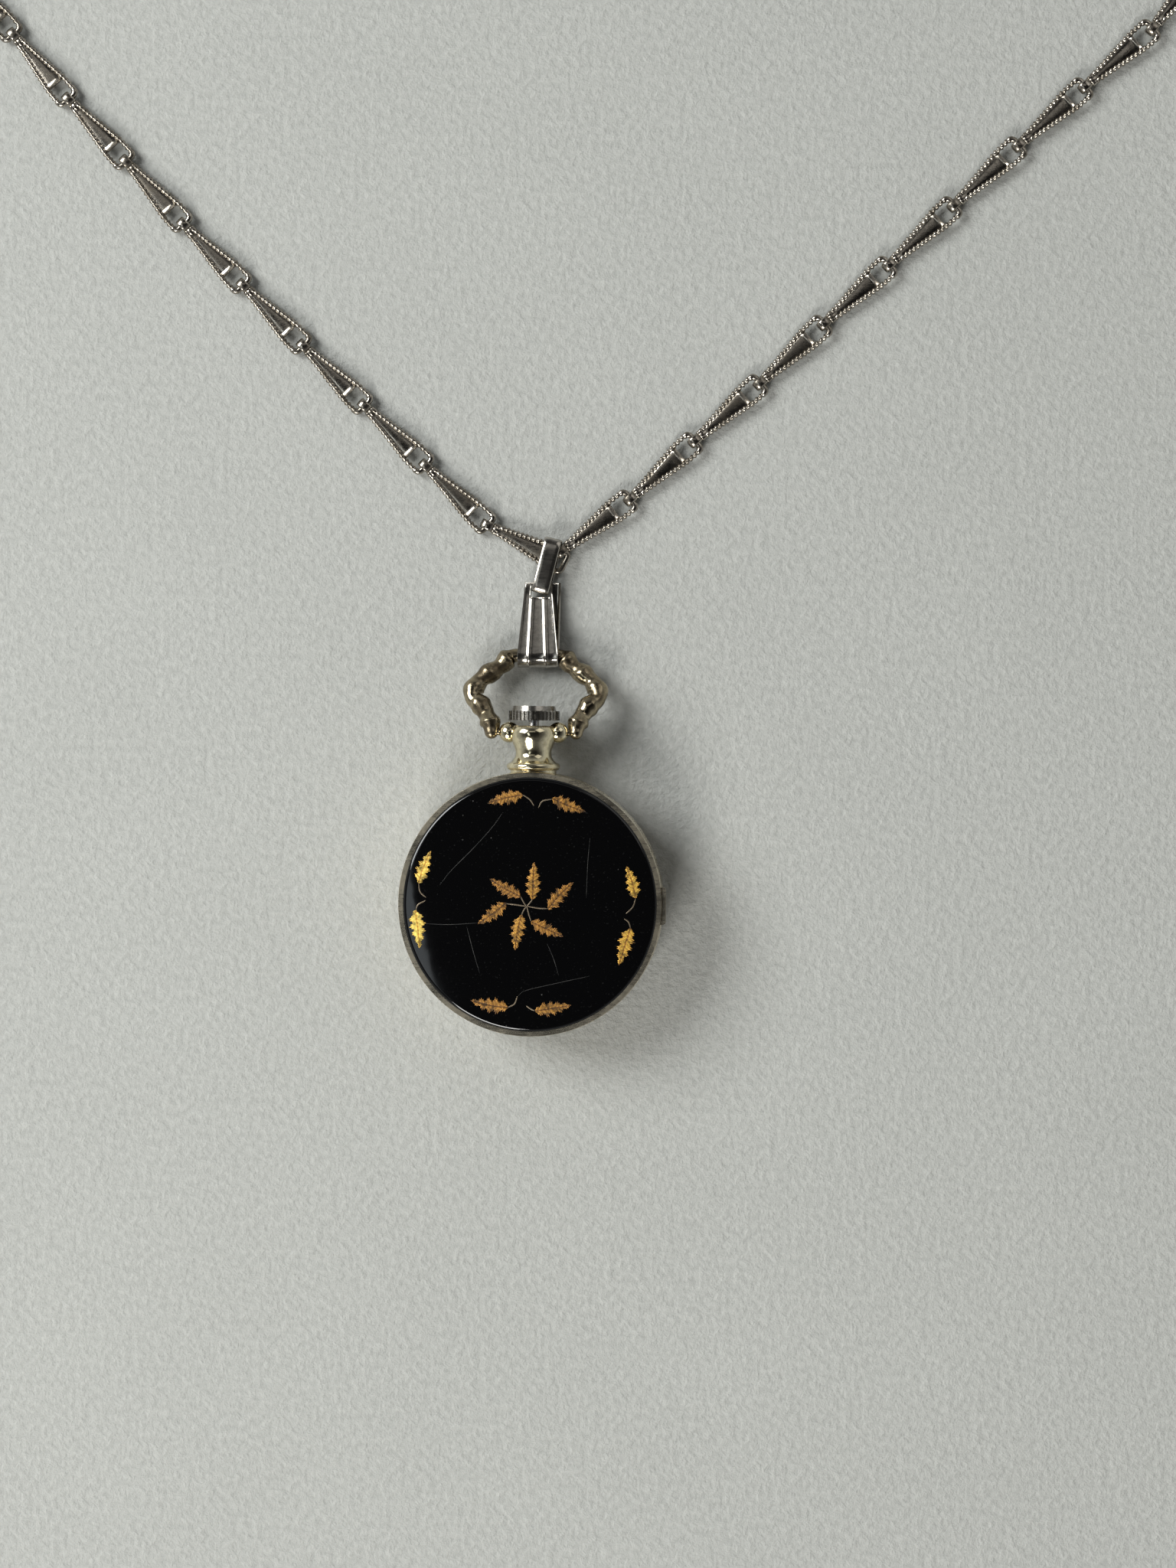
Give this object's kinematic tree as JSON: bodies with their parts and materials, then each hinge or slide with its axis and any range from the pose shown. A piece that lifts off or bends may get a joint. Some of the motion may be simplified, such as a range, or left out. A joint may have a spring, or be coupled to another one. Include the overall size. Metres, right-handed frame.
{
  "type": "pendant watch",
  "caption": "Small mechanical pendant watch lying dial down, black enamel back inlaid with gilt leaves, crown, stirrup bow, tapered bail and stamped link chain with spring ring clasp.",
  "frame": {"origin": "centre of the crystal's flat outer face, on which the watch lies", "axes": "+Z out through the enamelled back, +Y from the case's centre to the crown, +X to the right seen from the back"},
  "size_m": [0.1323, 0.1701, 0.0074],
  "materials": {
    "case_gilt": "polished",
    "neck_gilt": "polished",
    "crown_silver": "polished, worn",
    "bow_silver": "cast, worn",
    "chain_gilt": "satin, worn",
    "enamel": "glossy",
    "leaf_foil": "foil",
    "glass": "clear",
    "dial_white": "satin",
    "hand_steel": "blued",
    "plate_gilt": "frosted",
    "wheel_brass": "polished",
    "steel": "polished",
    "ruby": "glossy",
    "seal": "matt"
  },
  "bodies": {
    "case": {"case_band": "case_gilt", "pendant_neck": "neck_gilt", "bezel": "case_gilt", "crystal": "glass", "dial": "dial_white", "movement_ring": "plate_gilt", "main_plate": "plate_gilt", "barrel_bridge": "plate_gilt", "train_bridge": "plate_gilt", "balance_cock": "plate_gilt", "pallet_bridge": "plate_gilt", "jewels": "ruby", "movement_screws": "steel", "case_screws": "steel", "click_spring": "steel", "hairspring": "steel"},
    "cover": {"rear_cover": "case_gilt", "enamel_plate": "enamel", "leaf_inlays": "leaf_foil"},
    "bow": {"bow": "bow_silver"},
    "bail": {"tapered_bail": "chain_gilt"},
    "strap": {"strap_loop": "chain_gilt"},
    "pass_link": {"pass_link": "chain_gilt"},
    "left_near": {"chain_left_near": "chain_gilt"},
    "left_far": {"chain_left_far": "chain_gilt"},
    "rear_left_a": {"chain_rear_left_a": "chain_gilt"},
    "rear_left_b": {"chain_rear_left_b": "chain_gilt"},
    "clasp": {"clasp_body": "chain_gilt"},
    "trigger": {"clasp_trigger": "chain_gilt"},
    "right_near": {"chain_right_near": "chain_gilt"},
    "right_far": {"chain_right_far": "chain_gilt"},
    "rear_right_a": {"chain_rear_right_a": "chain_gilt"},
    "rear_right_b": {"chain_rear_right_b": "chain_gilt"},
    "end_ring": {"end_ring": "chain_gilt"},
    "crown_slide": {"crown_gasket": "seal"},
    "crown": {"crown": "crown_silver", "winding_stem": "steel"},
    "sliding_pinion": {"sliding_pinion": "steel"},
    "setting_lever": {"setting_lever": "steel"},
    "yoke": {"yoke": "steel"},
    "winding_pinion": {"winding_pinion": "steel"},
    "crown_wheel": {"crown_wheel": "steel"},
    "ratchet": {"ratchet_wheel": "steel", "barrel_arbor": "steel", "mainspring": "steel"},
    "click": {"click": "steel"},
    "barrel": {"barrel_drum": "wheel_brass", "barrel_cover": "wheel_brass"},
    "centre": {"centre_wheel": "wheel_brass"},
    "third": {"third_wheel": "wheel_brass"},
    "fourth": {"fourth_wheel": "wheel_brass"},
    "escape": {"escape_wheel": "steel"},
    "pallets": {"pallet_fork": "steel"},
    "balance": {"balance_wheel": "wheel_brass"},
    "minute_hand": {"cannon_pinion": "steel", "minute_hand": "hand_steel"},
    "minute_wheel": {"minute_wheel": "wheel_brass"},
    "hour_hand": {"hour_wheel": "wheel_brass", "hour_hand": "hand_steel"},
    "setting_wheel": {"setting_wheel": "wheel_brass"}
  },
  "joints": [
    {"name": "cover_lift", "type": "slide", "parent": "case", "child": "cover", "axis": [0, 0, 1], "range_m": [0, 0.008]},
    {"name": "bow_swing", "type": "hinge", "parent": "case", "child": "bow", "pos_m": [0, 0.01555, 0.00413], "axis": [1, 0, 0], "range_deg": [-60, 75]},
    {"name": "bail_swing", "type": "hinge", "parent": "bow", "child": "bail", "pos_m": [0.00012, 0.02256, 0.00118], "axis": [1, 0, 0], "range_deg": [-70, 45]},
    {"name": "strap_swing", "type": "hinge", "parent": "bail", "child": "strap", "pos_m": [0.00025, 0.02846, 0.00107], "axis": [0.9703, -0.2419, 0], "range_deg": [-10, 10]},
    {"name": "chain_run", "type": "slide", "parent": "strap", "child": "pass_link", "axis": [0.8988, -0.4384, 0], "range_m": [0, 0.0008]},
    {"name": "left_near_swing", "type": "hinge", "parent": "pass_link", "child": "left_near", "pos_m": [-0.00472, 0.03459, 0.00064], "axis": [-0.6858, -0.7278, 0], "range_deg": [-60, 60]},
    {"name": "left_far_swing", "type": "hinge", "parent": "left_near", "child": "left_far", "pos_m": [-0.02763, 0.05664, 0.00064], "axis": [-0.7083, -0.7059, 0], "range_deg": [-60, 60]},
    {"name": "rear_left_a_swing", "type": "hinge", "parent": "left_far", "child": "rear_left_a", "pos_m": [-0.05452, 0.0859, 0.00064], "axis": [-0.8651, -0.5016, 0], "range_deg": [-60, 60]},
    {"name": "rear_left_b_swing", "type": "hinge", "parent": "rear_left_a", "child": "rear_left_b", "pos_m": [-0.05354, 0.13794, 0.00064], "axis": [-0.7354, 0.6776, 0], "range_deg": [-60, 60]},
    {"name": "clasp_swing", "type": "hinge", "parent": "rear_left_b", "child": "clasp", "pos_m": [-0.00333, 0.15513, 0.00064], "axis": [0, 1, 0], "range_deg": [-50, 50]},
    {"name": "trigger_turn", "type": "hinge", "parent": "clasp", "child": "trigger", "pos_m": [0.00096, 0.15513, 0.00064], "axis": [0, 0, 1], "range_deg": [0, 38]},
    {"name": "right_near_swing", "type": "hinge", "parent": "pass_link", "child": "right_near", "pos_m": [0.00213, 0.03222, 0.00094], "axis": [-0.6101, 0.7923, 0], "range_deg": [-6, 6]},
    {"name": "right_far_swing", "type": "hinge", "parent": "right_near", "child": "right_far", "pos_m": [0.02602, 0.05317, 0.00064], "axis": [-0.6845, 0.729, 0], "range_deg": [-60, 60]},
    {"name": "rear_right_a_swing", "type": "hinge", "parent": "right_far", "child": "rear_right_a", "pos_m": [0.05542, 0.07992, 0.00064], "axis": [-0.6561, 0.7547, 0], "range_deg": [-60, 60]},
    {"name": "rear_right_b_swing", "type": "hinge", "parent": "rear_right_a", "child": "rear_right_b", "pos_m": [0.0626, 0.13156, 0.00064], "axis": [-0.9213, -0.3889, 0], "range_deg": [-60, 60]},
    {"name": "end_ring_swing", "type": "hinge", "parent": "rear_right_b", "child": "end_ring", "pos_m": [0.00778, 0.15512, 0.00064], "axis": [0, -1, 0], "range_deg": [-60, 60]},
    {"name": "crown_pull", "type": "slide", "parent": "case", "child": "crown_slide", "axis": [0, 1, 0], "range_m": [0, 0.0004]},
    {"name": "crown_turn", "type": "hinge", "parent": "crown_slide", "child": "crown", "pos_m": [0, 0.01665, 0.00413], "axis": [0, 1, 0], "continuous": true},
    {"name": "sliding_pinion_shift", "type": "slide", "parent": "crown_slide", "child": "sliding_pinion", "axis": [0, 1, 0], "range_m": [-0.0006, 0]},
    {"name": "setting_lever_turn", "type": "hinge", "parent": "case", "child": "setting_lever", "pos_m": [-0.0026, 0.0058, 0.00264], "axis": [0, 0, 1], "range_deg": [0, 11]},
    {"name": "yoke_turn", "type": "hinge", "parent": "case", "child": "yoke", "pos_m": [0.0024, 0.0069, 0.00264], "axis": [0, 0, 1], "range_deg": [0, 8]},
    {"name": "winding_pinion_turn", "type": "hinge", "parent": "case", "child": "winding_pinion", "pos_m": [0, 0.0074, 0.00413], "axis": [0, 1, 0], "continuous": true},
    {"name": "crown_wheel_turn", "type": "hinge", "parent": "case", "child": "crown_wheel", "pos_m": [0, 0.0055, 0.0056], "axis": [0, 0, 1], "continuous": true},
    {"name": "ratchet_turn", "type": "hinge", "parent": "case", "child": "ratchet", "pos_m": [-0.00322, 0.0027, 0.0056], "axis": [0, 0, 1], "continuous": true},
    {"name": "click_swing", "type": "hinge", "parent": "case", "child": "click", "pos_m": [-0.00635, 0.0052, 0.0056], "axis": [0, 0, 1], "range_deg": [-6, 6]},
    {"name": "fourth_turn", "type": "hinge", "parent": "case", "child": "fourth", "pos_m": [0.00403, -0.002, 0.0038], "axis": [0, 0, 1], "continuous": true},
    {"name": "third_turn", "type": "hinge", "parent": "case", "child": "third", "pos_m": [0.00326, 0.00087, 0.0038], "axis": [0, 0, 1], "continuous": true},
    {"name": "centre_turn", "type": "hinge", "parent": "case", "child": "centre", "pos_m": [0, 0, 0.0038], "axis": [0, 0, 1], "continuous": true},
    {"name": "barrel_turn", "type": "hinge", "parent": "case", "child": "barrel", "pos_m": [-0.00322, 0.0027, 0.0038], "axis": [0, 0, 1], "continuous": true},
    {"name": "escape_turn", "type": "hinge", "parent": "case", "child": "escape", "pos_m": [0.00235, -0.00401, 0.0038], "axis": [0, 0, 1], "continuous": true},
    {"name": "pallet_swing", "type": "hinge", "parent": "case", "child": "pallets", "pos_m": [0.00052, -0.00426, 0.0038], "axis": [0, 0, 1], "range_deg": [-3, 3]},
    {"name": "balance_swing", "type": "hinge", "parent": "case", "child": "balance", "pos_m": [-0.00195, -0.0046, 0.0038], "axis": [0, 0, 1], "range_deg": [-135, 135]},
    {"name": "minute_hand_turn", "type": "hinge", "parent": "case", "child": "minute_hand", "pos_m": [0, 0, 0.0026], "axis": [0, 0, 1], "continuous": true},
    {"name": "minute_wheel_turn", "type": "hinge", "parent": "case", "child": "minute_wheel", "pos_m": [0.00044, 0.00248, 0.0026], "axis": [0, 0, 1], "continuous": true},
    {"name": "hour_hand_turn", "type": "hinge", "parent": "case", "child": "hour_hand", "pos_m": [0, 0, 0.0026], "axis": [0, 0, 1], "continuous": true},
    {"name": "setting_wheel_turn", "type": "hinge", "parent": "case", "child": "setting_wheel", "pos_m": [0.00182, 0.00508, 0.0026], "axis": [0, 0, 1], "continuous": true}
  ],
  "couplings": [
    {"joint": "sliding_pinion_shift", "follows": "crown_pull", "ratio": -1.5},
    {"joint": "setting_lever_turn", "follows": "crown_pull", "rad_per_m": 467.29},
    {"joint": "yoke_turn", "follows": "crown_pull", "rad_per_m": 318.47},
    {"joint": "winding_pinion_turn", "follows": "crown_turn", "ratio": 1},
    {"joint": "crown_wheel_turn", "follows": "crown_turn", "ratio": -0.75},
    {"joint": "ratchet_turn", "follows": "crown_turn", "ratio": 0.6},
    {"joint": "third_turn", "follows": "fourth_turn", "ratio": -0.13333},
    {"joint": "centre_turn", "follows": "fourth_turn", "ratio": 0.016667},
    {"joint": "barrel_turn", "follows": "fourth_turn", "ratio": -0.0027778},
    {"joint": "escape_turn", "follows": "fourth_turn", "ratio": -10},
    {"joint": "minute_wheel_turn", "follows": "minute_hand_turn", "ratio": -0.33333},
    {"joint": "hour_hand_turn", "follows": "minute_hand_turn", "ratio": 0.083333},
    {"joint": "setting_wheel_turn", "follows": "minute_hand_turn", "ratio": 0.6}
  ]
}
